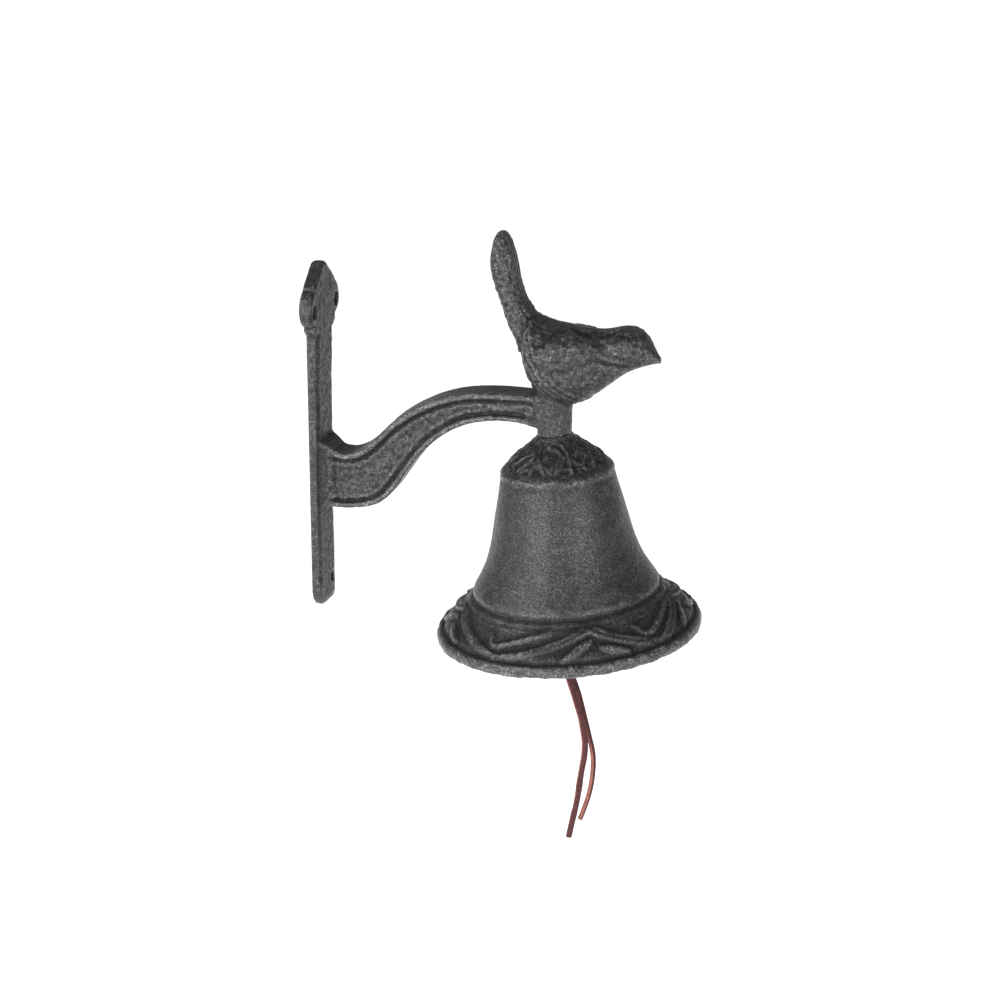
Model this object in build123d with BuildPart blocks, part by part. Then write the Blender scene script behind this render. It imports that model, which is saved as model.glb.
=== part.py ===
"""Cast-iron wall bell: a wall plate with a swan-neck arm, a post with a bird on it, and a flared bell below.

The frame: X points out of the wall, Z is up, and the origin is on the plate's back face, on its centre line.
All sizes are in millimetres.
"""
import os
from math import atan2, cos, degrees, hypot, radians, sin, tan

from build123d import *

os.makedirs("parts", exist_ok=True)

# Wall plate: a strap with a wider pointed head, both thicker along the middle than at their edges
strap_width = 18.0
strap_edge = 2.8
strap_crown = 0.8
strap_bevel = 2.6
foot_low = -68.2
foot_near_radius = 7.5
foot_far_radius = 3.0
head_edge = 3.4
head_bevel = 1.3
head_tip = 66.8
tip_half_width = 2.5
tip_round = 1.8
shoulder_height = 59.3
shoulder_half_width = 11.6
ear_radius = 7.7
ear_side = 8.5
ear_height = 51.4
ear_foot = 42.6
head_foot = 40.2
strap_top_edge = 3.4
strap_top_front = 4.7
screw_hole_radius = 2.6
screw_spacing = 22.8
screw_height = 50.3
low_hole_radius = 2.2
low_hole_side = 4.2
low_hole_height = -59.1

# Arm: heights over shares of its reach from the plate's front to the post's axis
arm_width = 12.0
arm_top = ((0.0, -1.2), (0.045, -3.9), (0.12, -4.8), (0.20, -1.4), (0.31, 8.4), (0.45, 16.9), (0.62, 22.4), (0.78, 23.7),
           (1.0, 24.1))
arm_low = ((1.0, 9.0), (0.93, 12.0), (0.82, 13.4), (0.70, 12.3), (0.60, 9.2), (0.47, 0.5), (0.36, -12.5), (0.27, -22.4),
           (0.15, -26.2), (0.0, -26.3))
panel_border = 2.3
panel_depth = 0.8
panel_top_shares = (0.055, 0.90)
panel_low_shares = (0.10, 0.955)
panel_points = 9
root_width = 16.0
root_high = 0.2
root_low = -27.2
root_length = 5.0
root_front_high = -3.9
root_front_low = -26.0

# Post
post_reach = 92.8
post_radius = 6.35
post_foot = 8.8
post_top = 28.0
post_flare = 2.6
post_flare_low = 15.5

# Bird: forward of the post's axis, above the perch, half width, half height
perch = 20.0
body_sections = (
    (-15.0, 29.4, 4.6, 5.6),
    (-9.8, 22.9, 9.0, 11.7),
    (-2.0, 17.2, 12.4, 14.5),
    (6.5, 15.9, 12.9, 14.4),
    (14.5, 17.2, 11.8, 12.3),
    (21.0, 20.0, 9.6, 10.3),
    (27.0, 22.9, 8.5, 8.6),
    (32.2, 23.3, 6.4, 6.5),
    (36.2, 21.4, 3.2, 3.3),
    (38.9, 19.5, 1.0, 1.0),
)
# Tail: forward of the post's axis, above the perch, thickness in the side view, width across
tail_sections = (
    (-7.4, 20.0, 12.4, 14.6),
    (-9.0, 26.0, 13.4, 14.4),
    (-11.5, 30.5, 12.8, 14.0),
    (-13.6, 34.0, 10.8, 13.2),
    (-15.8, 38.2, 9.0, 12.6),
    (-17.5, 42.5, 8.9, 12.8),
    (-19.2, 49.0, 9.2, 13.0),
    (-19.8, 53.2, 8.6, 12.6),
    (-20.1, 57.0, 6.9, 11.0),
    (-20.3, 60.2, 5.0, 8.6),
    (-20.4, 62.8, 2.4, 4.8),
)
tail_corner = 0.45
wing_forward = 4.0
wing_rise = 20.3
wing_length = 30.0
wing_depth = 17.0
wing_inset = 5.6
wing_droop = 12.0
cheek_forward = 24.6
cheek_rise = 24.4
cheek_length = 13.0
cheek_depth = 9.6
cheek_inset = 5.0
feather_relief = 0.6
feather_width = 1.2
feather_pitch = 2.3
feather_count = 4
feather_first = 1.8
feather_slope = 0.5
feather_line = ((-16.6, 28.0), (-13.6, 17.0), (-6.0, 6.5), (6.0, -1.0))

# Bell, with heights above its mouth
bell_lean = 5.2
bell_height = 77.0
mouth_radius = 50.0
rim_height = 3.4
rim_line = 0.7
skirt_top_height = 15.4
skirt_top_radius = 36.9
skirt_curve = 1.25
groove_width = 2.8
groove_depth = 1.7
groove_bottom_rise = 1.3
groove_bottom_depth = 2.3
waist_shape = ((0.13, 0.76), (0.24, 0.59), (0.42, 0.40), (0.64, 0.25), (0.87, 0.08))
neck_radius = 21.0
band_low = 62.8
band_high = 66.0
band_proud = 0.5
crown_radius = 18.9
crown_shape = ((0.42, 0.64), (0.75, 0.29))
boss_height = 1.8
boss_foot_radius = 8.6
boss_radius = 6.9
bell_wall = 3.1
crown_wall = 5.0
seat_margin = 0.8

# Relief on the bell, with turns measured from the side that faces the viewer
relief = 0.9
view_side = -76.0
zigzag_turns = (-80.0, -34.0, 12.0, 46.0, 80.0, 130.0, 185.0, 232.0)
zigzag_top = 38.2
zigzag_low = 47.6
ridge_width = 1.3
ridge_gap = 1.0
ridge_slant = 1.5
ridge_steps = 3
triangle_leaves = (((47.4, -15.0), (41.2, 1.0), 3.2), ((44.0, 3.0), (47.2, 17.0), 3.0))
triangle_hook = ((40.0, -9.0), (43.6, -4.0), (41.0, 9.0), (38.6, 26.0))
crown_relief_height = 0.55
vein_width = 1.0
vein_count = 7
vein_start = 0.35
vein_bend = 4.0
vein_low = 18.6
side_vein = ((17.6, 19.0), (15.6, 12.0), (12.6, 3.0))

# Hanger inside the bell, with lengths along the bell's axis from the post's foot
bolt_radius = 2.95
bolt_depth = 12.0
tap_spare = 2.0
bolt_clearance = 0.35
washer_radius = 7.0
washer_thick = 1.2
nut_across = 10.0
nut_height = 5.0
shank_below_nut = 3.0
eye_radius = 5.0
eye_wire = 1.6
eye_weld = 1.0
hook_gap = 0.4

# Link and clapper, which hang straight down from the eye
link_radius = 4.2
link_length = 12.0
link_wire = 1.3
clapper_eye_radius = 4.5
clapper_wire = 1.6
rod_top_radius = 2.6
rod_low_radius = 3.4
ball_radius = 10.5
ball_drop = 26.0
clapper_foot_radius = 3.6
clapper_foot_drop = 43.5
clapper_foot_round = 1.2
thong_hole_radius = 1.7
thong_hole_rise = 3.6

# Thong: a hitch through the clapper's foot and two tails that hang from it
thong_radius = 1.1
short_thong_radius = 0.85
loop_gap = 0.25
knot_radius = 2.9
knot_drop = 5.2
tail_lean = 0.25
tail_spread = 0.5
tail_gap = 0.05
long_tail = ((99.0, -1.1, -84.3), (102.4, -1.0, -94.8), (105.7, -1.0, -105.4), (107.4, -1.0, -116.6),
             (105.6, -1.0, -127.5), (104.4, -1.0, -139.3), (102.4, -0.8, -148.8), (101.2, -0.7, -155.7))
short_tail = ((98.8, 1.5, -83.4), (102.9, 1.6, -92.9), (105.3, 1.6, -101.8), (107.7, 1.7, -111.6),
              (110.0, 1.7, -120.6), (109.7, 1.6, -130.2), (108.1, 1.5, -139.7), (105.1, 1.5, -148.4))

# Places worked out from the sizes above
plate_front = strap_edge + strap_crown
head_front = head_edge + head_bevel
lean = radians(bell_lean)
bell_up = Vector(-sin(lean), 0, cos(lean))
bell_out = Vector(cos(lean), 0, sin(lean))
post_end = Vector(post_reach, 0, post_foot)
bell_axis = Axis(post_end, bell_up)
mouth_centre = post_end - bell_up * bell_height
bell_section = Plane(origin=mouth_centre, x_dir=bell_out, z_dir=(0, -1, 0))
bell_plan = Plane(origin=mouth_centre, x_dir=bell_out, z_dir=bell_up)
hanger_plan = Plane(origin=post_end, x_dir=bell_out, z_dir=-bell_up)
nut_end = crown_wall + washer_thick + nut_height
shank_end = nut_end + shank_below_nut
eye_centre = post_end - bell_up * (shank_end + eye_radius + eye_wire - eye_weld)
link_pivot = eye_centre - Vector(0, 0, eye_radius - eye_wire - link_wire - hook_gap)
clapper_pivot = link_pivot - Vector(0, 0, link_length - link_wire - clapper_wire - hook_gap)
clapper_eye = clapper_pivot - Vector(0, 0, clapper_eye_radius)
ball_centre = clapper_pivot - Vector(0, 0, ball_drop)
clapper_end = clapper_pivot - Vector(0, 0, clapper_foot_drop)
thong_hole = clapper_end + Vector(0, 0, thong_hole_rise)
knot_centre = clapper_end - Vector(0, 0, knot_drop)


def arm_point(share, height):
    """A point of the arm's side view: its share of the reach from the plate's front to the post's axis."""
    return (plate_front + share * (post_reach - plate_front), height)


def ribbon(points, width):
    """A band of even width along a curve through points of the sketch that is being drawn."""
    sides = ([], [])
    for number, point in enumerate(points):
        before = points[max(number - 1, 0)]
        after = points[min(number + 1, len(points) - 1)]
        across = Vector(before[1] - after[1], after[0] - before[0]).normalized() * (width / 2)
        sides[0].append((point[0] + across.X, point[1] + across.Y))
        sides[1].append((point[0] - across.X, point[1] - across.Y))
    with BuildLine() as outline:
        Spline(*sides[0])
        Line(sides[0][-1], sides[1][-1])
        Spline(*reversed(sides[1]))
        Line(sides[1][0], sides[0][0])
    make_face(outline.edges())


def leaf(start, end, width):
    """A pointed leaf between two points of the sketch that is being drawn."""
    middle = ((start[0] + end[0]) / 2, (start[1] + end[1]) / 2)
    across = Vector(start[1] - end[1], end[0] - start[0]).normalized() * (width / 2)
    with BuildLine() as outline:
        ThreePointArc(start, (middle[0] + across.X, middle[1] + across.Y), end)
        ThreePointArc(end, (middle[0] - across.X, middle[1] - across.Y), start)
    make_face(outline.edges())


def polar(radius, turn):
    """A point of the bell's plan view."""
    return (radius * cos(radians(turn)), radius * sin(radians(turn)))


def inset_points(line, shares, inset):
    """Points beside a line, on its right hand, between two shares of its length."""
    points = []
    for number in range(panel_points):
        share = shares[0] + (shares[1] - shares[0]) * number / (panel_points - 1)
        along = line % share
        points.append(line @ share + Vector(along.Y, -along.X) * inset)
    return points


def egg(centre, length, depth, droop):
    """A solid egg, round about its long axis, which droops towards the rear."""
    side_view = Plane(origin=centre, x_dir=(cos(radians(droop)), 0, sin(radians(droop))), z_dir=(0, -1, 0))
    with BuildPart() as solid:
        with BuildSketch(side_view):
            Ellipse(length / 2, depth / 2)
            with Locations((0, -depth / 2)):
                Rectangle(length, depth, mode=Mode.SUBTRACT)
        revolve(axis=Axis(centre, side_view.x_dir))
    return solid.part


def bird_body(swell):
    """The bird's body from tail root to beak, with its sections grown by the swell."""
    with BuildPart() as solid:
        for forward, rise, half_width, half_height in body_sections:
            centre = (post_reach + forward, 0, perch + rise)
            with BuildSketch(Plane(origin=centre, x_dir=(0, 1, 0), z_dir=(1, 0, 0))):
                Ellipse(half_width + swell, half_height + swell)
        loft()
    return solid.part


def bell_profile(raised):
    """The bell's section beside its axis, with the outside raised by the height of the relief."""
    def out(radius, height):
        return (radius + raised, height + raised)

    waist_foot = skirt_top_height + groove_width
    waist_foot_radius = skirt_top_radius - groove_depth
    skirt_foot_radius = mouth_radius - rim_line
    skirt_foot = rim_height + rim_line
    skirt = [(skirt_foot_radius, skirt_foot)]
    for share in (0.6, 0.25):
        spread = (skirt_foot_radius - skirt_top_radius) * share ** skirt_curve
        skirt.append((skirt_top_radius + spread, skirt_top_height - (skirt_top_height - skirt_foot) * share))
    skirt.append((skirt_top_radius, skirt_top_height))
    groove = (skirt_top_radius - groove_bottom_depth, skirt_top_height + groove_bottom_rise)
    waist = [(waist_foot_radius, waist_foot)]
    for share, spread_share in waist_shape:
        spread = (waist_foot_radius - neck_radius) * spread_share
        waist.append((neck_radius + spread, waist_foot + (band_low - waist_foot) * share))
    waist.append((neck_radius, band_low))
    boss_low = bell_height - boss_height
    crown = [(crown_radius, band_high)]
    for share, spread_share in crown_shape:
        spread = (crown_radius - boss_foot_radius) * spread_share
        crown.append((boss_foot_radius + spread, band_high + (boss_low - band_high) * share))
    crown.append((boss_foot_radius, boss_low))
    hole_radius = bolt_radius + bolt_clearance
    seat_height = bell_height - crown_wall
    seat_radius = washer_radius + seat_margin
    inside = [(mouth_radius - bell_wall, 0)]
    inside += [(radius - bell_wall, height) for radius, height in skirt[1:] + waist[1:]]
    under = [(radius - 0.8 * bell_wall, height - 0.6 * bell_wall) for radius, height in crown[1:3]]

    with BuildSketch(bell_section) as section:
        with BuildLine():
            Polyline((mouth_radius - bell_wall, 0), (mouth_radius - rim_line, 0), out(mouth_radius, rim_line),
                     out(mouth_radius, rim_height), out(*skirt[0]))
            Spline(*[out(*point) for point in skirt])
            Polyline(out(*skirt[-1]), out(*groove), out(*waist[0]))
            Spline(*[out(*point) for point in waist])
            Polyline(out(*waist[-1]), out(neck_radius + band_proud, band_low + band_proud),
                     out(crown_radius + band_proud, band_high), out(*crown[0]))
            Spline(*[out(*point) for point in crown])
            Polyline(out(*crown[-1]), out(boss_radius, boss_low + boss_height / 2), out(boss_radius, bell_height),
                     out(hole_radius, bell_height), (hole_radius, seat_height), (seat_radius, seat_height))
            Spline((seat_radius, seat_height), *reversed(under), inside[-1])
            Spline(*reversed(inside))
        make_face()
    return section.sketch


# Bracket, one casting: the strap of the wall plate, with bevelled front edges
with BuildPart() as strap:
    with BuildSketch(Plane.YZ) as strap_outline:
        with Locations((0, (head_foot + foot_low) / 2)):
            Rectangle(strap_width, head_foot - foot_low)
        fillet(strap_outline.vertices().group_by(Axis.Y)[0].sort_by(Axis.X)[0], foot_near_radius)
        fillet(strap_outline.vertices().group_by(Axis.Y)[0].sort_by(Axis.X)[-1], foot_far_radius)
    extrude(amount=strap_edge)
    with BuildSketch(Plane.YZ.offset(strap_edge)):
        add(strap_outline.sketch_local)
    with BuildSketch(Plane.YZ.offset(plate_front)):
        add(strap_outline.sketch_local)
        offset(amount=-strap_bevel)
    loft(ruled=True)

# Above the arm the strap grows thicker towards the head
with BuildPart() as strap_top:
    half = strap_width / 2
    for height, edge, front in ((root_front_high, strap_edge, plate_front), (ear_height, strap_top_edge, strap_top_front)):
        with BuildSketch(Plane.XY.offset(height)):
            Polygon((0, -half), (edge, -half), (front, strap_bevel - half), (front, half - strap_bevel),
                    (edge, half), (0, half), align=None)
    loft(ruled=True)

# The pointed head of the plate, with an ear on each side for a screw
with BuildPart() as head:
    with BuildSketch(Plane.YZ):
        Polygon((-tip_half_width, head_tip), (-shoulder_half_width, shoulder_height), (-shoulder_half_width, ear_foot),
                (-strap_width / 2, head_foot), (strap_width / 2, head_foot), (shoulder_half_width, ear_foot),
                (shoulder_half_width, shoulder_height), (tip_half_width, head_tip), align=None)
        with Locations((-ear_side, ear_height), (ear_side, ear_height)):
            Circle(ear_radius)
    extrude(amount=head_front)
    fillet(head.edges().filter_by(Axis.X).group_by(Axis.Z)[-1], tip_round)
    chamfer(head.faces().sort_by(Axis.X)[-1].edges(), head_bevel)

# The swan-neck arm, with a recessed panel in each side
with BuildPart() as arm:
    with BuildSketch(Plane.XZ) as arm_outline:
        with BuildLine():
            top_line = Spline(*[arm_point(*point) for point in arm_top])
            Line(arm_point(*arm_top[-1]), arm_point(*arm_low[0]))
            low_line = Spline(*[arm_point(*point) for point in arm_low])
            Polyline(arm_point(*arm_low[-1]), (strap_edge, arm_low[-1][1]), (strap_edge, arm_top[0][1]),
                     arm_point(*arm_top[0]))
        make_face()
    extrude(amount=arm_width / 2, both=True)
    with BuildSketch(Plane.XZ.offset(arm_width / 2)) as panel:
        with BuildLine():
            panel_top = inset_points(top_line, panel_top_shares, panel_border)
            panel_low = inset_points(low_line, panel_low_shares, panel_border)
            Spline(*panel_top)
            Line(panel_top[-1], panel_low[0])
            Spline(*panel_low)
            Line(panel_low[-1], panel_top[0])
        make_face()
    extrude(amount=-panel_depth, mode=Mode.SUBTRACT)
    with BuildSketch(Plane.XZ.offset(-arm_width / 2)):
        add(panel.sketch_local)
    extrude(amount=panel_depth, mode=Mode.SUBTRACT)

# The flared root between the arm and the plate
with BuildPart() as root:
    with BuildSketch(Plane.YZ.offset(strap_edge)):
        with Locations((0, (root_high + root_low) / 2)):
            Rectangle(root_width, root_high - root_low)
    with BuildSketch(Plane.YZ.offset(plate_front + root_length)):
        with Locations((0, (root_front_high + root_front_low) / 2)):
            Rectangle(arm_width, root_front_high - root_front_low)
    loft(ruled=True)

# The round post, flared where the bird sits, with its foot cut square to the bell's axis
with BuildPart() as post:
    with BuildSketch(Plane(origin=(post_reach, 0, 0), x_dir=(1, 0, 0), z_dir=(0, -1, 0))):
        with BuildLine():
            Polyline((post_radius, post_flare_low), (post_radius, post_foot - post_radius),
                     (0, post_foot - post_radius), (0, post_top), (post_radius + post_flare, post_top))
            Spline((post_radius + post_flare, post_top), (post_radius, post_flare_low),
                   tangents=((-post_flare, -post_radius), (0, -1)))
        make_face()
    revolve(axis=Axis((post_reach, 0, 0), (0, 0, 1)))
    split(bisect_by=Plane(origin=post_end, z_dir=bell_up), keep=Keep.TOP)

# The bird's cocked tail
with BuildPart() as tail:
    for forward, rise, thickness, width in tail_sections:
        with BuildSketch(Plane.XY.offset(perch + rise)):
            with Locations((post_reach + forward, 0)):
                RectangleRounded(thickness, width, tail_corner * thickness)
    loft()

# Rows of flank feathers, raised a little from the body
with BuildPart() as feathers:
    with BuildSketch(Plane.XZ):
        for row in range(feather_count):
            step = feather_first + row * feather_pitch
            ribbon([(post_reach + x + step, perch + z + step * feather_slope) for x, z in feather_line], feather_width)
    extrude(amount=body_sections[3][2] + feather_relief, both=True)
    add(bird_body(feather_relief), mode=Mode.INTERSECT)

with BuildPart() as bracket:
    add(strap.part)
    add(strap_top.part)
    add(head.part)
    with BuildSketch(Plane.YZ):
        with GridLocations(screw_spacing, 0, 2, 1):
            with Locations((0, screw_height)):
                Circle(screw_hole_radius)
        with Locations((low_hole_side, low_hole_height)):
            Circle(low_hole_radius)
    extrude(amount=head_front, mode=Mode.SUBTRACT)
    add(root.part)
    add(arm.part)
    add(post.part)
    add(bird_body(0))
    add(tail.part)
    for side in (-1, 1):
        add(egg(Vector(post_reach + wing_forward, side * wing_inset, perch + wing_rise), wing_length, wing_depth,
                wing_droop))
        add(egg(Vector(post_reach + cheek_forward, side * cheek_inset, perch + cheek_rise), cheek_length,
                cheek_depth, 0))
    add(feathers.part)
    with BuildSketch(hanger_plan):
        Circle(bolt_radius)
    extrude(amount=-(bolt_depth + tap_spare), mode=Mode.SUBTRACT)
bracket.part.label = "bracket"
export_step(bracket.part, "parts/bracket.step")

# Zigzag of double ridges around the skirt, with two leaves in each lower triangle and a hook in each upper one
with BuildPart() as skirt_relief:
    with BuildSketch(bell_plan):
        for number, turn in enumerate(zigzag_turns):
            at_top = number % 2 == 0
            next_turn = zigzag_turns[(number + 1) % len(zigzag_turns)]
            if next_turn < turn:
                next_turn += 360
            for shift in (-0.5, 0.5):
                points = []
                for step in range(ridge_steps + 1):
                    share = step / ridge_steps
                    low_share = share if at_top else 1 - share
                    radius = zigzag_top + (zigzag_low - zigzag_top) * low_share
                    aside = shift * degrees((ridge_width + ridge_gap) / radius) * ridge_slant
                    points.append(polar(radius, view_side + turn + (next_turn - turn) * share + aside))
                ribbon(points, ridge_width)
            if at_top:
                for start, end, width in triangle_leaves:
                    leaf(polar(start[0], view_side + turn + start[1]), polar(end[0], view_side + turn + end[1]), width)
            else:
                ribbon([polar(radius, view_side + turn + aside) for radius, aside in triangle_hook], ridge_width)
    extrude(amount=skirt_top_height)
    revolve(bell_profile(relief), axis=bell_axis, mode=Mode.INTERSECT)

# Leaf veins on the crown: ribs from the boss to the band, each with two slanting side veins
with BuildPart() as crown_relief:
    with BuildSketch(bell_plan.offset(band_high - band_proud)):
        for number in range(vein_count):
            turn = view_side + 360 / vein_count * (number + vein_start)
            ribbon([polar(boss_foot_radius, turn), polar((boss_foot_radius + vein_low) / 2, turn + vein_bend),
                    polar(vein_low, turn)], vein_width)
            for side in (-1, 1):
                ribbon([polar(radius, turn + side * aside) for radius, aside in side_vein], vein_width)
    extrude(amount=bell_height - band_high)
    revolve(bell_profile(crown_relief_height), axis=bell_axis, mode=Mode.INTERSECT)

with BuildPart() as bell:
    revolve(bell_profile(0), axis=bell_axis)
    add(skirt_relief.part)
    add(crown_relief.part)
bell.part.label = "bell"
export_step(bell.part, "parts/bell.step")

# Eye bolt that holds the bell up against the post's foot
with BuildPart() as eye_bolt:
    with BuildSketch(hanger_plan.offset(-bolt_depth)):
        Circle(bolt_radius)
    extrude(amount=bolt_depth + shank_end)
    with Locations(Location(eye_centre, (90, 0, 0))):
        Torus(eye_radius, eye_wire)
eye_bolt.part.label = "eye_bolt"
export_step(eye_bolt.part, "parts/eye_bolt.step")

with BuildPart() as washer:
    with BuildSketch(hanger_plan.offset(crown_wall)):
        Circle(washer_radius)
        Circle(bolt_radius + bolt_clearance, mode=Mode.SUBTRACT)
    extrude(amount=washer_thick)
washer.part.label = "washer"
export_step(washer.part, "parts/washer.step")

with BuildPart() as nut:
    with BuildSketch(hanger_plan.offset(crown_wall + washer_thick)):
        RegularPolygon(nut_across / 2, 6, major_radius=False)
        Circle(bolt_radius, mode=Mode.SUBTRACT)
    extrude(amount=nut_height)
nut.part.label = "nut"
export_step(nut.part, "parts/nut.step")

# Closed oval link
link_plane = Plane(origin=link_pivot - Vector(0, 0, link_length / 2), x_dir=(0, 0, 1), z_dir=(1, 0, 0))
with BuildSketch(link_plane) as link_line:
    SlotCenterToCenter(link_length - 2 * link_radius, 2 * link_radius)
with BuildPart() as clapper_link:
    side_middle = link_plane.origin + Vector(0, link_radius, 0)
    with BuildSketch(Plane(origin=side_middle, x_dir=(1, 0, 0), z_dir=(0, 0, 1))):
        Circle(link_wire)
    sweep(path=link_line.sketch.faces()[0].outer_wire())
clapper_link.part.label = "clapper_link"
export_step(clapper_link.part, "parts/clapper_link.step")

# Clapper: eye, tapered rod, striking ball and a drilled foot
with BuildPart() as clapper:
    with Locations(Location(clapper_eye, (90, 0, 0))):
        Torus(clapper_eye_radius, clapper_wire)
    with BuildSketch(Plane(origin=clapper_pivot, x_dir=(1, 0, 0), z_dir=(0, -1, 0))):
        rod_top = -2 * clapper_eye_radius
        Polygon((0, rod_top), (rod_top_radius, rod_top), (rod_low_radius, -ball_drop), (0, -ball_drop), align=None)
        with Locations((0, -ball_drop)):
            Circle(ball_radius)
        with Locations((clapper_foot_radius / 2, -(ball_drop + clapper_foot_drop) / 2)):
            Rectangle(clapper_foot_radius, clapper_foot_drop - ball_drop)
        with Locations((-ball_radius, -ball_drop)):
            Rectangle(2 * ball_radius, 2 * ball_radius, mode=Mode.SUBTRACT)
    revolve(axis=Axis(clapper_pivot, (0, 0, 1)))
    fillet(clapper.edges().filter_by(GeomType.CIRCLE).sort_by(Axis.Z)[0], clapper_foot_round)
    with BuildSketch(Plane(origin=thong_hole, x_dir=(1, 0, 0), z_dir=(0, -1, 0))):
        Circle(thong_hole_radius)
    extrude(amount=clapper_foot_radius, both=True, mode=Mode.SUBTRACT)
clapper.part.label = "clapper"
export_step(clapper.part, "parts/clapper.step")

# Hitch of the thong: a loop through the clapper's foot, drawn together in a knot below it
loop_side = clapper_foot_radius + loop_gap + thong_radius
loop_top = thong_hole - Vector(0, 0, thong_hole_radius - thong_radius - loop_gap / 2)
loop_height = loop_top.Z - knot_centre.Z
with BuildPart() as thong_knot:
    loop_plane = Plane(origin=loop_top - Vector(0, 0, loop_height / 2), x_dir=(0, 1, 0), z_dir=(1, 0, 0))
    with BuildSketch(loop_plane) as loop_line:
        RectangleRounded(2 * loop_side, loop_height, thong_radius * 1.5)
    with BuildSketch(Plane(origin=loop_top, x_dir=(1, 0, 0), z_dir=(0, 1, 0))) as thong_round:
        Circle(thong_radius)
    sweep(sections=thong_round.sketch, path=loop_line.sketch.faces()[0].outer_wire())
    with Locations(knot_centre):
        Sphere(knot_radius)
thong_knot.part.label = "thong_knot"
export_step(thong_knot.part, "parts/thong_knot.step")


def tail_route(name, points, start_side, radius):
    """A thong's tail: straight runs from the knot joined by arcs as large as the runs allow."""
    start = knot_centre + Vector(tail_lean, start_side * tail_spread, -1).normalized() * (knot_radius + tail_gap)
    route = [start] + [Vector(*point) for point in points]
    radii = []
    for before, corner, after in zip(route, route[1:], route[2:]):
        turn = radians((corner - before).get_angle(after - corner))
        shorter = min((corner - before).length, (after - corner).length)
        radii.append(0.45 * shorter / tan(turn / 2))
    print(name, "radii", [round(value, 1) for value in radii])
    with BuildPart() as thong_tail:
        with BuildLine() as line:
            FilletPolyline(*route, radius=radii)
        with BuildSketch(Plane(origin=route[0], z_dir=route[1] - route[0])):
            Circle(radius)
        sweep(path=line.wires()[0])
    length = line.wires()[0].length
    print(name, "length", round(length, 1), "volume", round(thong_tail.part.volume, 1), "section times length",
          round(3.14159265 * radius ** 2 * length, 1))
    return thong_tail.part


thong_long = tail_route("thong_long", long_tail, -1, thong_radius)
thong_long.label = "thong_long"
export_step(thong_long, "parts/thong_long.step")
thong_short = tail_route("thong_short", short_tail, 1, short_thong_radius)
thong_short.label = "thong_short"
export_step(thong_short, "parts/thong_short.step")
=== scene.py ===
"""Cast-iron wall bell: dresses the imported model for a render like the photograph.

Places of the camera, the lights and the floor are in metres. The pieces are worked out in millimetres.
"""
from math import cos, pi, radians, sin

import bmesh
import bpy
import numpy as np
from mathutils import Matrix, Vector

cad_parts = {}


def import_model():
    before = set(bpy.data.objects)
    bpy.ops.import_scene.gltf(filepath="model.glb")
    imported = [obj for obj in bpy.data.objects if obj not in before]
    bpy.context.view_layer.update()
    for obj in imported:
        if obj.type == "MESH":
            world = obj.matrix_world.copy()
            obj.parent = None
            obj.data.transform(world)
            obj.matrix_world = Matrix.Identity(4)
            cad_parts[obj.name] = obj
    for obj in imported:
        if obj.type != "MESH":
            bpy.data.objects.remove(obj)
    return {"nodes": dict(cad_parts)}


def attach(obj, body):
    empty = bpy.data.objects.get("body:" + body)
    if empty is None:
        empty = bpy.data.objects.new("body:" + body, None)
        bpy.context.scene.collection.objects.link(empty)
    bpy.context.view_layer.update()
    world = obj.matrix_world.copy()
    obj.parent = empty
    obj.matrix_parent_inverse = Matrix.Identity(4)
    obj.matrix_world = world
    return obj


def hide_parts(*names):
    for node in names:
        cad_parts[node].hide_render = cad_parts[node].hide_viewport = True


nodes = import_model()["nodes"]
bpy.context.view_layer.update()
MM = 0.001

# Camera, fitted to the photograph
CAMERA_PLACE = (0.27927, -0.74669, 0.25506)
CAMERA_AZIMUTH = 15.5
CAMERA_ELEVATION = 19.5
CAMERA_ROLL = 0.4
CAMERA_LENS = 79.2
FLOOR_HEIGHT = -0.30


def add_camera():
    azimuth, elevation, roll = radians(CAMERA_AZIMUTH), radians(CAMERA_ELEVATION), radians(CAMERA_ROLL)
    forward = Vector((-sin(azimuth) * cos(elevation), cos(azimuth) * cos(elevation), -sin(elevation)))
    level_right = Vector((cos(azimuth), sin(azimuth), 0))
    level_up = level_right.cross(forward)
    right = cos(roll) * level_right + sin(roll) * level_up
    up = -sin(roll) * level_right + cos(roll) * level_up
    data = bpy.data.cameras.new("camera")
    data.lens = CAMERA_LENS
    data.sensor_width = 36
    data.clip_start = 0.01
    camera = bpy.data.objects.new("camera", data)
    turned = Matrix((right, up, -forward)).transposed().to_4x4()
    camera.matrix_world = Matrix.Translation(CAMERA_PLACE) @ turned
    bpy.context.scene.collection.objects.link(camera)
    bpy.context.scene.camera = camera


def add_area_light(name, place, target, size, power):
    data = bpy.data.lights.new(name, "AREA")
    data.shape = "RECTANGLE"
    data.size, data.size_y = size
    data.energy = power
    light = bpy.data.objects.new(name, data)
    light.location = place
    light.rotation_euler = (Vector(target) - Vector(place)).to_track_quat("-Z", "Y").to_euler()
    bpy.context.scene.collection.objects.link(light)


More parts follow.
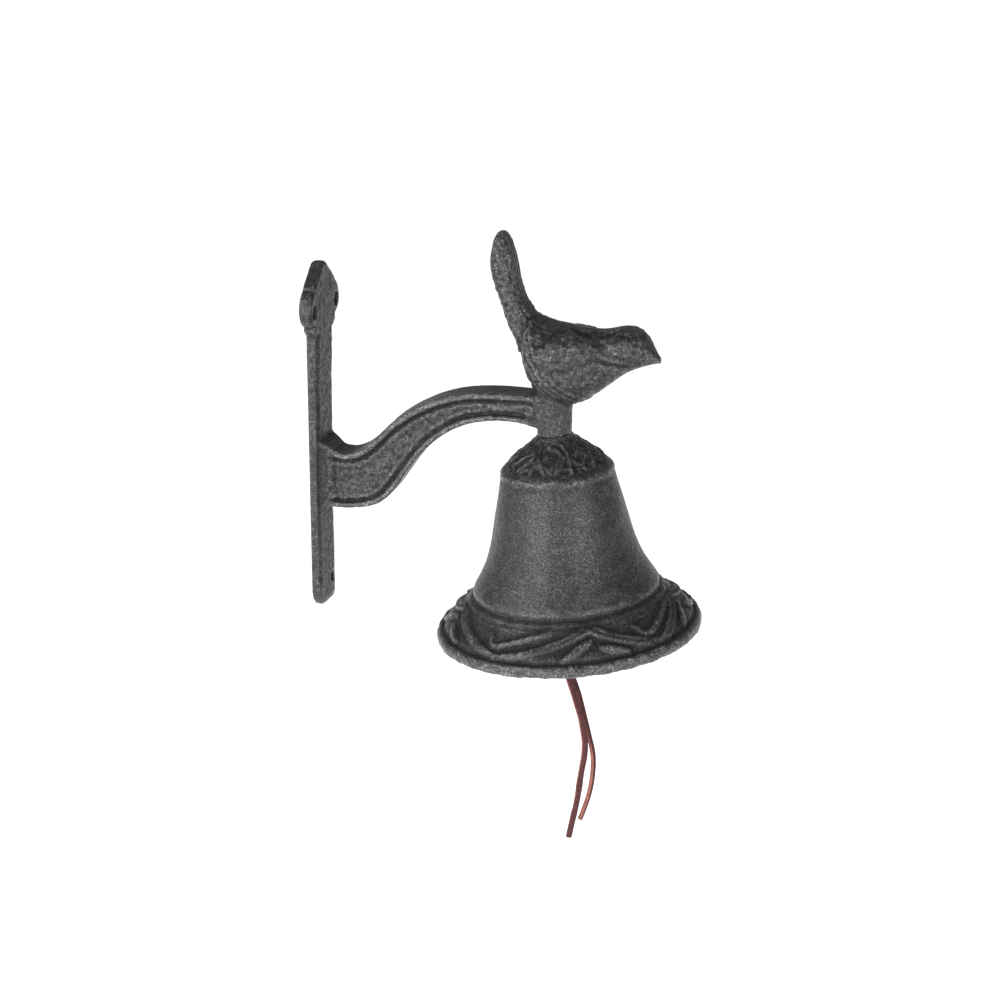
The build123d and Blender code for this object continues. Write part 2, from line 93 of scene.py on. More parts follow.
class Shader:
    """A material's node tree, built one node at a time."""

    def __init__(self, name):
        self.material = bpy.data.materials.new(name)
        self.material.use_nodes = True
        self.tree = self.material.node_tree
        self.surface = self.tree.nodes["Principled BSDF"]

    def node(self, kind, **settings):
        node = self.tree.nodes.new(kind)
        for key, value in settings.items():
            setattr(node, key, value)
        return node

    def link(self, start, end):
        self.tree.links.new(start, end)

    def noise(self, scale, detail, roughness=0.55):
        place = self.node("ShaderNodeTexCoord")
        noise = self.node("ShaderNodeTexNoise")
        for key, value in (("Scale", scale), ("Detail", detail), ("Roughness", roughness)):
            noise.inputs[key].default_value = value
        self.link(place.outputs["Object"], noise.inputs["Vector"])
        return noise.outputs["Fac"]

    def ramp(self, fac, *stops):
        """A colour ramp over fac, with stops of a place from 0 to 1 and a colour."""
        ramp = self.node("ShaderNodeValToRGB")
        elements = ramp.color_ramp.elements
        while len(elements) < len(stops):
            elements.new(0.5)
        for element, (place, colour) in zip(elements, stops):
            element.position = place
            element.color = (*colour, 1)
        self.link(fac, ramp.inputs["Fac"])
        return ramp.outputs["Color"]

    def times(self, first, second):
        """The product of two colours."""
        mix = self.node("ShaderNodeMix", data_type="RGBA", blend_type="MULTIPLY")
        mix.inputs["Factor"].default_value = 1.0
        self.link(first, mix.inputs[6])
        self.link(second, mix.inputs[7])
        return mix.outputs[2]

    def bump(self, height, distance, strength, before=None):
        """A bumpy normal, on top of another one where there is one before it."""
        bump = self.node("ShaderNodeBump")
        bump.inputs["Distance"].default_value = distance
        bump.inputs["Strength"].default_value = strength
        self.link(height, bump.inputs["Height"])
        if before is not None:
            self.link(before, bump.inputs["Normal"])
        return bump.outputs["Normal"]


def grey(value):
    return (value, value, value)


def cast_iron():
    """Grainy iron, with painted shade darkening its colour in the hollows that the meshes mark and painted
    highlight lightening it on their ridges; the hollows are also rougher and the ridges glossier.
    """
    shader = Shader("cast_iron")
    surface = shader.surface
    grain = shader.noise(1500, 3, 0.6)
    mottle = shader.noise(260, 3, 0.6)
    ridge = shader.node("ShaderNodeAttribute", attribute_name="ridge").outputs["Fac"]
    half_up = shader.node("ShaderNodeMath", operation="ADD")
    half_up.inputs[1].default_value = 0.5
    shader.link(ridge, half_up.inputs[0])
    level = half_up.outputs["Value"]
    tone = shader.ramp(grain, (0.36, grey(0.15)), (0.50, grey(0.8)), (0.64, grey(3.2)))
    patches = shader.ramp(mottle, (0.35, grey(0.65)), (0.65, grey(1.35)))
    # Painted shade in the hollows and painted highlight on the ridges, multiplied into the base colour.
    painted_shade_and_highlight = shader.ramp(level, (0.0, grey(0.0005)), (0.38, grey(0.006)), (0.50, grey(0.016)),
                       (0.62, grey(0.023)), (1.0, grey(0.05)))
    shader.link(shader.times(shader.times(painted_shade_and_highlight, tone), patches), surface.inputs["Base Color"])
    surface.inputs["Specular IOR Level"].default_value = 0.36
    dull = shader.ramp(level, (0.0, grey(2.0)), (0.42, grey(1.3)), (0.52, grey(0.95)), (0.75, grey(0.7)))
    gloss = shader.ramp(grain, (0.36, grey(0.50)), (0.64, grey(0.26)))
    shader.link(shader.times(gloss, dull), surface.inputs["Roughness"])
    coarse = shader.bump(shader.noise(520, 3, 0.6), 0.0003, 0.5)
    fine = shader.bump(grain, 0.00028, 0.8, coarse)
    shader.link(fine, surface.inputs["Normal"])
    return shader.material


def dull_steel():
    shader = Shader("dull_steel")
    surface = shader.surface
    surface.inputs["Metallic"].default_value = 1.0
    tone = shader.noise(300, 4)
    shader.link(shader.ramp(tone, (0.3, grey(0.22)), (0.7, grey(0.42))), surface.inputs["Base Color"])
    shader.link(shader.ramp(tone, (0.3, grey(0.5)), (0.7, grey(0.35))), surface.inputs["Roughness"])
    shader.link(shader.bump(shader.noise(900, 3), 0.0001, 0.4), surface.inputs["Normal"])
    return shader.material


def leather(name, dark, light):
    shader = Shader(name)
    surface = shader.surface
    tone = shader.noise(700, 4, 0.65)
    shader.link(shader.ramp(tone, (0.3, dark), (0.7, light)), surface.inputs["Base Color"])
    surface.inputs["Roughness"].default_value = 0.75
    surface.inputs["Specular IOR Level"].default_value = 0.25
    shader.link(shader.bump(shader.noise(1800, 3), 0.0002, 0.5), surface.inputs["Normal"])
    return shader.material


IRON = cast_iron()
STEEL = dull_steel()
THONG_FACE = leather("thong_face", (0.035, 0.009, 0.011), (0.085, 0.026, 0.028))
THONG_EDGE = leather("thong_edge", (0.17, 0.060, 0.045), (0.30, 0.115, 0.085))


def paint(thing, material):
    thing.data.materials.clear()
    thing.data.materials.append(material)


def add_piece(name, mesh, body):
    piece = bpy.data.objects.new(name, mesh)
    bpy.context.scene.collection.objects.link(piece)
    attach(piece, body)
    return piece


def unit(vectors):
    return vectors / np.maximum(np.linalg.norm(vectors, axis=-1, keepdims=True), 1e-9)


LATTICE = np.random.default_rng(7).random(4096)
CELL_KEYS = np.array([73856093, 19349663, 83492791])


def lattice_noise(points, size, shift):
    """Smooth noise from -1 to 1 over points in millimetres, with bumps of about the given size."""
    place = points / size + shift * 17.3
    corner = np.floor(place).astype(np.int64)
    part = place - corner
    part = part * part * (3 - 2 * part)
    total = np.zeros(len(points))
    for offset in np.ndindex(2, 2, 2):
        key = (corner + np.array(offset)) @ CELL_KEYS
        weight = np.prod(np.where(np.array(offset) == 1, part, 1 - part), axis=1)
        total += weight * LATTICE[(key ^ (key >> 11)) % len(LATTICE)]
    return 2 * total - 1


def pebbles(points, size, shift):
    """Rounded pebbles, 1 at their middles and 0 where they meet."""
    place = points / size + shift * 9.7
    corner = np.floor(place).astype(np.int64)
    nearest = np.full(len(points), 9.0)
    for offset in np.ndindex(3, 3, 3):
        cell = corner + np.array(offset) - 1
        seed = cell @ CELL_KEYS
        spot = np.stack([LATTICE[(seed * k ^ (seed >> 7)) % len(LATTICE)] for k in (3, 5, 11)], axis=1)
        nearest = np.minimum(nearest, ((place - cell - spot) ** 2).sum(axis=1))
    return np.clip(1 - nearest / 0.6, 0, 1)


def smooth_line(points, pieces):
    """A Catmull-Rom curve through points, cut into pieces between each pair."""
    points = np.array(points, float)
    padded = np.vstack([2 * points[0] - points[1], points, 2 * points[-1] - points[-2]])
    line = []
    for before, start, end, after in zip(padded, padded[1:], padded[2:], padded[3:]):
        for t in np.arange(pieces) / pieces:
            bend = 2 * before - 5 * start + 4 * end - after
            twist = 3 * start - before - 3 * end + after
            line.append(0.5 * (2 * start + (end - before) * t + bend * t * t + twist * t ** 3))
    line.append(points[-1])
    return np.array(line)


def distance_to(line, points):
    """Each point's distance to a line of straight runs, and where along the line it is nearest."""
    best = np.full(len(points), 1e9)
    share = np.zeros(len(points))
    runs = len(line) - 1
    for number in range(runs):
        start, run = line[number], line[number + 1] - line[number]
        along = np.clip((points - start) @ run / (run @ run), 0, 1)
        gap = np.linalg.norm(points - start - along[:, None] * run, axis=1)
        closer = gap < best
        best[closer] = gap[closer]
        share[closer] = (number + along[closer]) / runs
    return best, share


def near(value, centre, width):
    """1 where the value is at the centre, and falling off within about the width."""
    return np.exp(-((value - centre) / width) ** 2)


def between(values, zone):
    return (values > zone[0]) & (values < zone[1])


def fade_at_ends(values, zone):
    """1 well inside the zone, and down to 0 over its last 0.8 mm."""
    return np.clip(np.minimum(values - zone[0], zone[1] - values) / 0.8, 0, 1)


def spaced(line, step):
    """Points on a line of straight runs, about a step apart and with both its ends."""
    line = np.array(line, float)
    lengths = np.concatenate([[0], np.cumsum(np.linalg.norm(np.diff(line, axis=0), axis=1))])
    places = np.linspace(0, lengths[-1], max(int(round(lengths[-1] / step)), 1) + 1)
    return np.stack([np.interp(places, lengths, line[:, k]) for k in range(line.shape[1])], axis=1)


def new_mesh(name, points, faces):
    mesh = bpy.data.meshes.new(name)
    mesh.from_pydata((points * MM).tolist(), [], [face.tolist() for face in faces])
    mesh.validate()
    mesh.shade_smooth()
    mesh.update()
    return mesh


def neighbours_mean(points, edges):
    """For each point, the mean of the points that an edge joins to it."""
    total = np.zeros_like(points)
    count = np.zeros(len(points))
    for start, end in ((0, 1), (1, 0)):
        for axis in range(points.shape[1]):
            total[:, axis] += np.bincount(edges[:, start], points[edges[:, end], axis], len(points))
        count += np.bincount(edges[:, start], minlength=len(points))
    return total / np.maximum(count, 1)[:, None]


def mesh_edges(mesh):
    edges = np.empty(len(mesh.edges) * 2, np.int64)
    mesh.edges.foreach_get("vertices", edges)
    return edges.reshape(-1, 2)


def mesh_points(mesh):
    points = np.empty(len(mesh.vertices) * 3)
    mesh.vertices.foreach_get("co", points)
    return points.reshape(-1, 3) / MM


def mesh_normals(mesh):
    normals = np.empty(len(mesh.vertices) * 3, np.float32)
    mesh.vertex_normals.foreach_get("vector", normals)
    return normals.reshape(-1, 3).astype(float)


def set_points(mesh, points):
    mesh.vertices.foreach_set("co", (points * MM).ravel())
    mesh.update()


def mark_hollows(mesh, fine_gain, wide_gain, painted_shade=0.0):
    """Keeps in the mesh whether each point is in a hollow (-0.5) or on a ridge (0.5), which the iron's shader
    turns into painted shade, painted highlight and roughness; the last argument lowers the level, as extra
    painted shade.
    """
    points, normals, edges = mesh_points(mesh), mesh_normals(mesh), mesh_edges(mesh)
    level = np.zeros((len(points), 1)) - np.reshape(painted_shade, (-1, 1))
    mean = points
    for reach, gain in ((2, fine_gain), (10, wide_gain)):
        for _ in range(reach):
            mean = neighbours_mean(mean, edges)
        level += gain * ((points - mean) * normals).sum(axis=1, keepdims=True)
    level = np.clip(neighbours_mean(level, edges)[:, 0], -0.5, 0.5)
    mesh.attributes.new("ridge", "FLOAT", "POINT").data.foreach_set("value", level.astype(np.float32))


# Bell, in millimetres and with heights above its mouth, as in the part's source
BELL_LEAN = 5.2
BELL_HEIGHT = 77.0
POST_END = np.array([92.8, 0.0, 8.8])
BELL_UP = np.array([-sin(radians(BELL_LEAN)), 0.0, cos(radians(BELL_LEAN))])
BELL_OUT = np.array([cos(radians(BELL_LEAN)), 0.0, sin(radians(BELL_LEAN))])
MOUTH_CENTRE = POST_END - BELL_UP * BELL_HEIGHT
RIM_LIP = ((46.9, 0.0), (49.3, 0.0), (50.0, 0.7), (50.0, 3.4), (49.3, 4.1))
SKIRT_CURVE = ((49.3, 4.1), (43.45, 8.62), (39.09, 12.58), (36.9, 15.4))
GROOVE_LINE = ((36.9, 15.4), (34.6, 16.7), (35.2, 18.2))
WAIST_CURVE = ((35.2, 18.2), (31.79, 24.0), (29.38, 28.9), (26.68, 36.93), (24.55, 46.74), (22.14, 57.0),
               (21.0, 62.3))
BAND_LINE = ((21.0, 62.3), (21.3, 62.8), (21.3, 63.6), (20.7, 64.5), (19.8, 65.0), (19.5, 65.3),
             (19.0, 65.7))
CROWN_CURVE = ((19.0, 65.7), (16.9, 67.9), (13.4, 70.9), (10.4, 73.2), (8.2, 75.0))
BOSS_LINE = ((8.2, 75.0), (6.9, 76.1), (6.9, 77.0), (3.3, 77.0))
SEAT_LINE = ((3.3, 77.0), (3.3, 72.0), (7.8, 72.0))
INSIDE_CURVE = ((7.8, 72.0), (9.11, 71.04), (12.71, 68.0), (17.9, 62.8), (19.04, 57.0), (21.45, 46.74),
                (23.58, 36.93), (26.28, 28.9), (28.69, 24.0), (32.1, 18.2), (33.8, 15.4), (35.99, 12.58),
                (40.35, 8.62), (46.9, 0.0))
BELL_TURNS = 480
BELL_STEP = 0.74
INSIDE_STEP = 3.2
SKIRT_ZONE = (4.6, 15.0)
SKIRT_INNER = 36.0
RIM_TOP = 4.8
GROOVE_ZONE = (14.5, 19.5)
BAND_ZONE = (61.5, 66.2)
CROWN_ZONE = (66.2, 75.4)
CROWN_INNER = 8.4
VIEW_SIDE = -76.0
ZIGZAG_TURNS = (-80.0, -34.0, 12.0, 46.0, 80.0, 130.0, 185.0, 232.0)
ZIGZAG_RADII = (38.2, 47.6)
RIDGE_STEP = 2.7
TRIANGLE_LEAVES = (((47.4, -15.0), (41.2, 1.0), 3.4), ((44.0, 3.0), (47.2, 17.0), 3.2))
TRIANGLE_HOOK = ((40.0, -9.0), (43.6, -4.0), (41.0, 9.0), (38.6, 26.0))
VEIN_COUNT = 7
VEIN_WIDTH = 0.75
VEIN_HEIGHT = 0.75
VEIN_LINES = (((8.6, 0.0), (13.6, 4.0), (18.6, 0.0)), ((17.6, 19.0), (15.6, 12.0), (12.6, 3.0)),
              ((17.6, -19.0), (15.6, -12.0), (12.6, -3.0)))


def plan_point(radius, turn):
    """A point of the bell's plan, its turn counted in degrees from the side that the camera sees."""
    angle = radians(VIEW_SIDE + turn)
    return (radius * cos(angle), radius * sin(angle))


def skirt_relief(plan):
    """Height of the zigzag of double ridges, its leaves and its hooks over points of the bell's plan."""
    height = np.zeros(len(plan))

    def ridge(points, width, rise):
        gap, share = distance_to(smooth_line(points, 4), plan)
        taper = np.clip(np.minimum(share, 1 - share) * 12, 0.35, 1)
        crest = rise * taper * near(gap, 0, width) + 0.12 * near(gap, 0, 1.6)
        np.maximum(height, crest, out=height)

    for number, turn in enumerate(ZIGZAG_TURNS):
        at_top = number % 2 == 0
        next_turn = ZIGZAG_TURNS[(number + 1) % len(ZIGZAG_TURNS)]
        if next_turn < turn:
            next_turn += 360
        for shift in (-0.5, 0.5):
            points = []
            for share in np.linspace(0, 1, 5):
                low_share = share if at_top else 1 - share
                radius = ZIGZAG_RADII[0] + (ZIGZAG_RADII[1] - ZIGZAG_RADII[0]) * low_share
                aside = shift * 1.5 * RIDGE_STEP / radians(1) / radius
                points.append(plan_point(radius, turn + (next_turn - turn) * share + aside))
            ridge(points, width=0.5, rise=1.1)
        if at_top:
            for start, end, width in TRIANGLE_LEAVES:
                first = plan_point(start[0], turn + start[1])
                last = plan_point(end[0], turn + end[1])
                gap, share = distance_to(smooth_line((first, last), 8), plan)
                half = width / 2 * np.sqrt(np.clip(4 * share * (1 - share), 0.02, 1))
                np.maximum(height, 1.15 * np.clip(1 - (gap / half) ** 2, 0, 1), out=height)
        else:
            ridge([plan_point(radius, turn + aside) for radius, aside in TRIANGLE_HOOK], width=0.65, rise=1.0)
    return height


def crown_relief(plan):
    """Height of the crown's leaf veins over points of the bell's plan."""
    height = np.zeros(len(plan))
    for number in range(VEIN_COUNT):
        turn = 360 / VEIN_COUNT * (number + 0.35)
        for line in VEIN_LINES:
            vein = smooth_line([plan_point(radius, turn + aside) for radius, aside in line], 4)
            np.maximum(height, VEIN_HEIGHT * near(distance_to(vein, plan)[0], 0, VEIN_WIDTH), out=height)
    return height


def build_bell():
    """The bell as its profile turned round, each point then moved along the profile's normal."""
    outside = np.vstack([RIM_LIP[:-1], smooth_line(SKIRT_CURVE, 8)[:-1], GROOVE_LINE[:-1],
                         smooth_line(WAIST_CURVE, 8)[:-1], BAND_LINE[:-1], smooth_line(CROWN_CURVE, 8)[:-1],
                         BOSS_LINE])
    inside = np.vstack([SEAT_LINE[:-1], smooth_line(INSIDE_CURVE, 4)])
    outside = spaced(outside, BELL_STEP)
    for _ in range(2):
        outside[1:-1] = (outside[:-2] + 2 * outside[1:-1] + outside[2:]) / 4
    profile = np.vstack([outside, spaced(inside, INSIDE_STEP)[1:-1]])
    after, before = np.roll(profile, -1, axis=0), np.roll(profile, 1, axis=0)
    slope = unit(after - before)
    away = np.stack([slope[:, 1], -slope[:, 0]], axis=1)
    turns = np.arange(BELL_TURNS) * 2 * pi / BELL_TURNS
    rows = len(profile)
    radius, turn = np.meshgrid(profile[:, 0], turns, indexing="ij")
    rise = np.repeat(profile[:, 1:], BELL_TURNS, axis=1)
    plan = np.stack([(radius * np.cos(turn)).ravel(), (radius * np.sin(turn)).ravel()], axis=1)
    radius, turn, rise = radius.ravel(), turn.ravel(), rise.ravel()
    spots = np.column_stack([plan, rise])
    is_outside = np.repeat(np.arange(rows) < len(outside), BELL_TURNS)
    skirt = is_outside & between(rise, SKIRT_ZONE) & (radius > SKIRT_INNER)
    crown = is_outside & between(rise, CROWN_ZONE) & (radius > CROWN_INNER)
    lift = np.zeros(len(spots))
    edge = fade_at_ends(rise[skirt], SKIRT_ZONE)
    lift[skirt] = edge * (skirt_relief(plan[skirt]) + 0.25 * lattice_noise(spots[skirt], 5.0, 1)
                          + 0.12 * lattice_noise(spots[skirt], 1.7, 10))
    lift[skirt] -= 0.8 * near(rise[skirt], SKIRT_ZONE[0] + 0.7, 0.7)
    lift[skirt] -= 0.3 * near(rise[skirt], SKIRT_ZONE[1] - 0.2, 0.5)
    veins = crown_relief(plan[crown])
    net = 1 - np.abs(lattice_noise(spots[crown], 4.6, 2)) * 4
    edge = fade_at_ends(rise[crown], CROWN_ZONE)
    lift[crown] = edge * (np.maximum(veins, 0.7 * np.clip(net, 0, 1)) - 0.35
                          + 0.22 * lattice_noise(spots[crown], 1.7, 3))
    rim = is_outside & (rise < RIM_TOP)
    lift[rim] += 0.2 * lattice_noise(spots[rim], 3.2, 4) + 0.24 * lattice_noise(spots[rim], 1.5, 5)
    band = is_outside & between(rise, BAND_ZONE)
    lift[band] += 0.2 * lattice_noise(spots[band], 2.2, 6)
    groove = is_outside & between(rise, GROOVE_ZONE)
    lift[groove] += 0.16 * lattice_noise(spots[groove], 2.6, 7)
    lift[is_outside] += (0.14 * lattice_noise(spots[is_outside], 9.0, 8)
                         + 0.05 * lattice_noise(spots[is_outside], 1.5, 9))
    normal = np.repeat(away, BELL_TURNS, axis=0)
    radius = radius + lift * normal[:, 0]
    rise = rise + lift * normal[:, 1]
    side = np.cross(BELL_UP, BELL_OUT)
    points = (MOUTH_CENTRE + (radius * np.cos(turn))[:, None] * BELL_OUT
              + (radius * np.sin(turn))[:, None] * side + rise[:, None] * BELL_UP)
    grid = np.arange(rows * BELL_TURNS).reshape(rows, BELL_TURNS)
    right, up = np.roll(grid, -1, axis=1), np.roll(grid, -1, axis=0)
    corner = np.roll(right, -1, axis=0)
    faces = np.stack([grid, right, corner, up], axis=-1).reshape(-1, 4)
    mesh = new_mesh("bell_casting", points, faces)
    mark_hollows(mesh, 1.4, 0.5)
    piece = add_piece("bell_casting", mesh, "bracket")
    paint(piece, IRON)
    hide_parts("bell")


# Bracket: a fine skin over the solid casting, with its edges worn round and its rough details raised
SKIN_SIZE = 0.00047
SMOOTH_ROUNDS = 5
SMOOTH_PULLS = (0.6, -0.5)
BACK_SKIN = 0.4
PLATE_FRONT = 6.0
STRAP_TOP = 38.0
EARS_LOW = 40.0
ARM_REACH = (3.6, 92.8)
ARM_SIDE = (4.0, 6.6)
ARM_FACE = (5.0, 86.0)
ARM_PEAK = 25.5
POST_BACK = 84.0
POST_ZONE = (8.0, 31.0)
BIRD_BACK = 70.0
BIRD_LOW = 30.0
FLANK_SIDE = 3.0
TAIL_LOW = 52.0
TAIL_FRONT = 84.0
ARM_TOP = ((0.0, -1.2), (0.045, -3.9), (0.12, -4.8), (0.20, -1.4), (0.31, 8.4), (0.45, 16.9),
           (0.62, 22.4), (0.78, 23.7), (1.0, 24.1))
ARM_LOW = ((1.0, 9.0), (0.93, 12.0), (0.82, 13.4), (0.70, 12.3), (0.60, 9.2), (0.47, 0.5),
           (0.36, -12.5), (0.27, -22.4), (0.15, -26.2), (0.0, -26.3))
WING_CREASE = ((97.0, 51.5), (102.5, 49.4), (108.2, 48.3), (112.9, 48.9), (118.1, 51.6), (122.5, 52.3))
THROAT_CREASE = ((110.5, 41.2), (113.5, 39.6), (117.0, 38.6), (120.5, 37.6))


def arm_line(points):
    """An edge of the arm in side view, from points with their share of the arm's reach and their height."""
    reach = ARM_REACH[1] - ARM_REACH[0]
    return smooth_line([(ARM_REACH[0] + share * reach, height) for share, height in points], 6)


def build_bracket():
    copy = bpy.data.objects.new("bracket_copy", nodes["bracket"].data.copy())
    bpy.context.scene.collection.objects.link(copy)
    remesh = copy.modifiers.new("skin", "REMESH")
    remesh.mode = "VOXEL"
    remesh.voxel_size = SKIN_SIZE
    mesh = bpy.data.meshes.new_from_object(copy.evaluated_get(bpy.context.evaluated_depsgraph_get()))
    bpy.data.objects.remove(copy)
    mesh.name = "bracket_casting"
    mesh.shade_smooth()
    edges = mesh_edges(mesh)
    points = mesh_points(mesh)
    for _ in range(SMOOTH_ROUNDS):
        for pull in SMOOTH_PULLS:
            points = points + pull * (neighbours_mean(points, edges) - points)
    set_points(mesh, points)
    normals = mesh_normals(mesh)
    x, y, z = points.T
    lift = 0.10 * lattice_noise(points, 7.0, 11) + 0.05 * lattice_noise(points, 1.5, 12)

    side = points[:, (0, 2)]
    on_arm = (np.abs(normals[:, 1]) > 0.6) & between(np.abs(y), ARM_SIDE)
    on_arm &= between(x, ARM_FACE) & (z < ARM_PEAK)
    top_gap = np.full(len(points), 50.0)
    low_gap = np.full(len(points), 50.0)
    top_gap[on_arm] = distance_to(arm_line(ARM_TOP), side[on_arm])[0]
    low_gap[on_arm] = distance_to(arm_line(ARM_LOW), side[on_arm])[0]
    bead = 0.35 * near(top_gap, 1.5, 0.75) - 0.6 * near(top_gap, 3.2, 0.5)
    bead += 0.35 * near(low_gap, 1.2, 0.7) - 0.45 * near(low_gap, 2.8, 0.5)
    bead += 0.4 * near(low_gap, 4.4, 0.8) + 0.3 * near(top_gap, 4.9, 0.8)
    bead[on_arm] += 0.12 * lattice_noise(points[on_arm], 1.6, 19)
    panel = on_arm & (top_gap > 3.4) & (low_gap > 3.0)
    bead[panel] += 0.25 * lattice_noise(points[panel], 2.4, 13)
    bead[panel] += 0.45 * (pebbles(points[panel], 1.6, 14) - 0.4)
    lift[on_arm] += bead[on_arm]

    bird = (z > BIRD_LOW) & (x > BIRD_BACK)
    flank = bird & (np.abs(y) > FLANK_SIDE)
    scaly = np.zeros(len(points))
    scaly[flank] = (0.42 * (pebbles(points[flank], 2.0, 15) - 0.4)
                    + 0.28 * lattice_noise(points[flank], 3.0, 16)
                    + 0.45 * (0.5 - np.abs(lattice_noise(points[flank], 2.2, 26))))
    fade = np.clip((np.abs(normals[:, 1]) - 0.25) / 0.3, 0, 1)
    lift += scaly * fade
    for crease in (WING_CREASE, THROAT_CREASE):
        gap = distance_to(smooth_line(crease, 5), side[flank])[0]
        lift[flank] -= 0.8 * near(gap, 0, 0.75)
    tail_vane = bird & (z > TAIL_LOW) & (x < TAIL_FRONT) & (normals[:, 0] > 0.5)
    lift[tail_vane] += 0.12 * np.sin(y[tail_vane] * 2.6)
    plate = (x < PLATE_FRONT) & ~on_arm
    lift[plate] += 0.16 * lattice_noise(points[plate], 2.4, 17)
    strap_front = plate & (normals[:, 0] > 0.7) & (z < STRAP_TOP)
    lift[strap_front] += 0.15 * (pebbles(points[strap_front], 1.5, 23) - 0.4)
    post = (x > POST_BACK) & between(z, POST_ZONE)
    lift[post] += 0.2 * (pebbles(points[post], 1.7, 24) - 0.4) + 0.12 * lattice_noise(points[post], 3.0, 25)
    ears = plate & (np.abs(normals[:, 1]) > 0.5) & (z > EARS_LOW)
    lift[ears] += 0.2 * (pebbles(points[ears], 1.5, 18) - 0.4)
    lift[x < BACK_SKIN] = 0
    points = points + lift[:, None] * normals
    set_points(mesh, points)
    # The plate's level is lowered, which gives it painted shade: a darker and slightly rougher plate.
    mark_hollows(mesh, 1.7, 0.5, 0.08 * plate)
    piece = add_piece("bracket_casting", mesh, "bracket")
    paint(piece, IRON)
    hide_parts("bracket")


# Thong: the same route points as in the part's source
KNOT_CENTRE = np.array([94.595, 0.0, -70.019])
LONG_POINTS = ((99.0, -1.1, -84.3), (102.4, -1.0, -94.8), (105.7, -1.0, -105.4), (107.4, -1.0, -116.6),
               (105.6, -1.0, -127.5), (104.4, -1.0, -139.3), (102.4, -0.8, -148.8), (101.2, -0.7, -155.7))
SHORT_POINTS = ((98.8, 1.5, -83.4), (102.9, 1.6, -92.9), (105.3, 1.6, -101.8), (107.7, 1.7, -111.6),
                (110.0, 1.7, -120.6), (109.7, 1.6, -130.2), (108.1, 1.5, -139.7), (105.1, 1.5, -148.4))
KNOT_REACH = 2.95


def tail_start(side):
    """Where a tail of the thong leaves the knot."""
    away = unit(np.array([0.25, side * 0.5, -1.0]))
    return tuple(KNOT_CENTRE + away * KNOT_REACH)


def route_line(name, route):
    """Points along the smooth spline that has the route's points as its control points."""
    curve = bpy.data.curves.new(name, "CURVE")
    curve.dimensions = "3D"
    curve.resolution_u = 10
    spline = curve.splines.new("NURBS")
    spline.points.add(len(route) - 1)
    for point, place in zip(spline.points, route):
        point.co = (*[value * MM for value in place], 1)
    spline.order_u = 3
    spline.use_endpoint_u = True
    holder = bpy.data.objects.new(name, curve)
    bpy.context.scene.collection.objects.link(holder)
    line = mesh_points(bpy.data.meshes.new_from_object(holder))
    bpy.data.objects.remove(holder)
    return line


# The thong's section: a flat cut with worn corners, whose two narrow sides show the leather's lighter inside
CUT_CORNER = 0.22
LACE_CORNERS = ((-1, 1 - CUT_CORNER), (-1 + CUT_CORNER, 1), (1 - CUT_CORNER, 1), (1, 1 - CUT_CORNER),
                (1, -1 + CUT_CORNER), (1 - CUT_CORNER, -1), (-1 + CUT_CORNER, -1), (-1, -1 + CUT_CORNER))
CUT_EDGES = (3, 7)


def lace_mesh(name, line, facings, width, thick, closed=False):
    """A flat-cut lace along a line, its wide faces turning from the first facing to the last."""
    line = np.array(line, float)
    count = len(line)
    if closed:
        along = unit(np.roll(line, -1, axis=0) - np.roll(line, 1, axis=0))
    else:
        along = unit(np.gradient(line, axis=0))
    turning = np.linspace(0, 1, count)[:, None]
    outward = np.array(facings[0], float) * (1 - turning) + np.array(facings[1], float) * turning
    outward = unit(outward - (outward * along).sum(axis=1, keepdims=True) * along)
    across = np.cross(along, outward)
    waver = 1 + 0.07 * lattice_noise(line, 6.0, 21)[:, None] + 0.05 * lattice_noise(line, 2.0, 22)[:, None]
    corners = []
    for far, high in LACE_CORNERS:
        corners.append(line + across * waver * far * width / 2 + outward * high * thick / 2)
    points = np.stack(corners, axis=1).reshape(-1, 3)
    sides = len(LACE_CORNERS)
    faces, tan_faces = [], []
    for number in range(count if closed else count - 1):
        following = (number + 1) % count
        for k in range(sides):
            after = (k + 1) % sides
            faces.append([number * sides + k, number * sides + after, following * sides + after,
                          following * sides + k])
            tan_faces.append(k in CUT_EDGES)
    if not closed:
        faces.append(list(reversed(range(sides))))
        faces.append([(count - 1) * sides + k for k in range(sides)])
        tan_faces += [True, True]
    mesh = bpy.data.meshes.new(name)
    mesh.from_pydata((points * MM).tolist(), [], faces)
    mesh.materials.append(THONG_FACE)
    mesh.materials.append(THONG_EDGE)
    for polygon, tan in zip(mesh.polygons, tan_faces):
        polygon.material_index = int(tan)
    mesh.shade_smooth()
    mesh.update()
    return mesh


def add_lace(name, route, facings, width, thick, replaced):
    line = route_line(name + "_line", route)
    mesh = lace_mesh(name, line, facings, width, thick)
    piece = add_piece(name, mesh, "clapper")
    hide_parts(replaced)


LOOP_SIDE = ((0.0, 8.33), (2.6, 8.33), (4.3, 7.9), (5.0, 6.6), (4.95, 4.6), (4.0, 3.2), (2.0, 1.9),
             (0.6, 0.9), (0.0, 0.6))
HITCH_RADIUS = 0.72


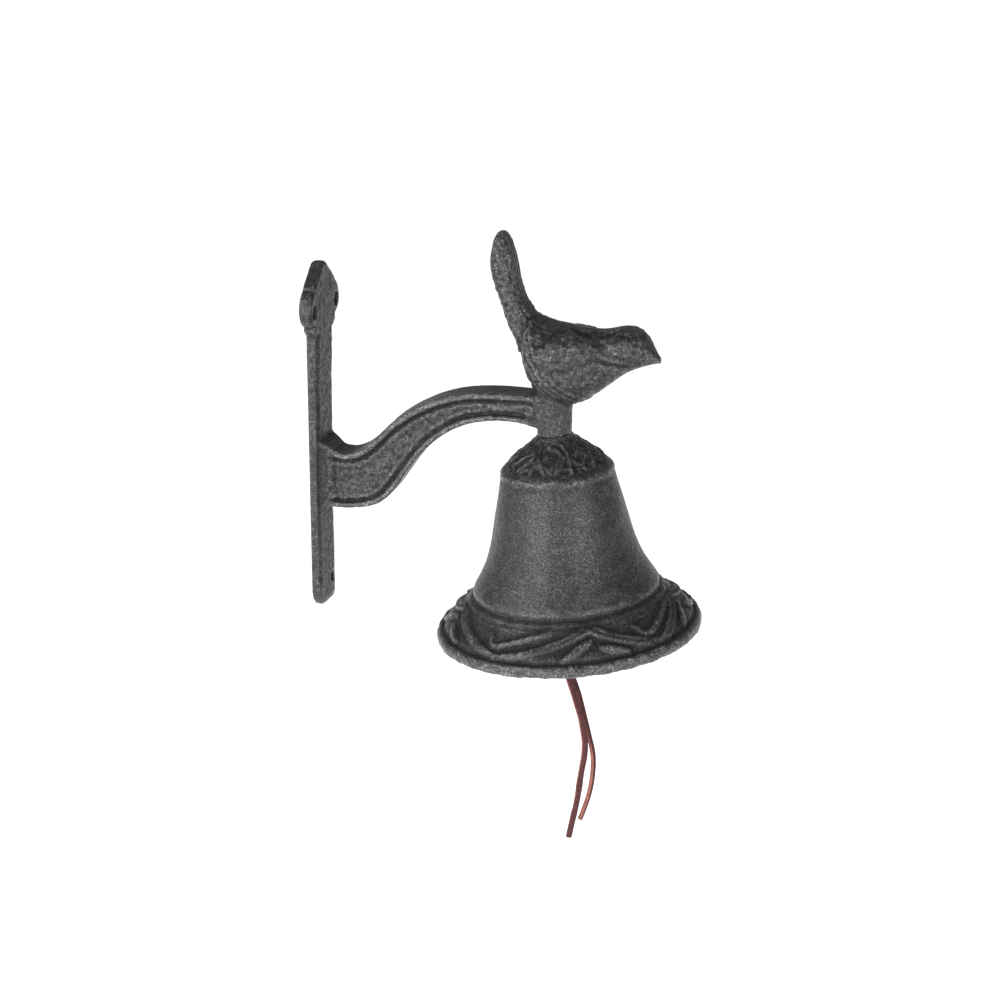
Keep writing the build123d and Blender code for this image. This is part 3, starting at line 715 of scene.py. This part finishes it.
def add_hitch():
    """The loop through the clapper's foot, and the knot below it that holds the tails."""
    half = smooth_line(LOOP_SIDE, 6)
    ring = np.vstack([half, half[-2:0:-1] * (-1, 1)])
    line = KNOT_CENTRE + np.column_stack([np.zeros(len(ring)), ring])
    mesh = lace_mesh("thong_loop", line, ((1, 0, 0), (1, 0, 0)), width=2.0, thick=1.3, closed=True)
    loop = add_piece("thong_loop", mesh, "clapper")
    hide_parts("thong_knot")
    turn = np.linspace(0, 2 * pi, 73)[:-1]
    wrap = np.column_stack([np.sin(turn) + 2 * np.sin(2 * turn), np.cos(turn) - 2 * np.cos(2 * turn),
                            -np.sin(3 * turn) * 1.5]) * HITCH_RADIUS
    line = KNOT_CENTRE + wrap[:, (2, 0, 1)] * (0.9, 0.8, 0.9)
    mesh = lace_mesh("thong_hitch", line, ((1, 0, 0.2), (1, 0, 0.2)), width=1.9, thick=1.3, closed=True)
    add_piece("thong_hitch", mesh, "clapper")


def add_floor():
    mesh = bpy.data.meshes.new("floor")
    edit = bmesh.new()
    bmesh.ops.create_grid(edit, x_segments=1, y_segments=1, size=12)
    edit.to_mesh(mesh)
    edit.free()
    shader = Shader("floor")
    tone = shader.noise(3, 2)
    shader.link(shader.ramp(tone, (0.0, grey(0.80)), (1.0, grey(0.82))), shader.surface.inputs["Base Color"])
    shader.surface.inputs["Roughness"].default_value = 0.9
    shader.surface.inputs["Emission Color"].default_value = (1, 1, 1, 1)
    shader.surface.inputs["Emission Strength"].default_value = 0.75
    mesh.materials.append(shader.material)
    floor = bpy.data.objects.new("floor", mesh)
    floor.location = (0, 0, FLOOR_HEIGHT)
    bpy.context.scene.collection.objects.link(floor)


def light_scene():
    world = bpy.data.worlds.new("world")
    bpy.context.scene.world = world
    world.use_nodes = True
    background = world.node_tree.nodes["Background"]
    background.inputs["Color"].default_value = (1, 1, 1, 1)
    background.inputs["Strength"].default_value = 0.3
    bpy.context.scene.view_settings.view_transform = "Standard"
    bell_middle = (0.09, 0, -0.02)
    add_area_light("left_strip", (-0.41, -1.15, 0.15), bell_middle, size=(0.10, 1.2), power=17)
    add_area_light("right_strip", (0.98, -0.85, 0.15), bell_middle, size=(0.06, 1.2), power=13)
    add_area_light("side_key", (-1.0, -0.6, 0.6), (0.06, 0, 0), size=(0.2, 0.4), power=8)


add_camera()
add_lace("thong_long_lace", (tail_start(-1),) + LONG_POINTS, ((0.80, -0.60, 0.0), (0.30, -0.95, 0.0)),
         width=2.2, thick=1.4, replaced="thong_long")
add_lace("thong_short_lace", (tail_start(1),) + SHORT_POINTS, ((0.80, -0.60, 0.0), (0.97, -0.25, 0.0)),
         width=1.6, thick=1.6, replaced="thong_short")
add_hitch()
build_bell()
build_bracket()
paint(nodes["clapper"], IRON)
for name in ("eye_bolt", "washer", "nut", "clapper_link"):
    paint(nodes[name], STEEL)
add_floor()
light_scene()
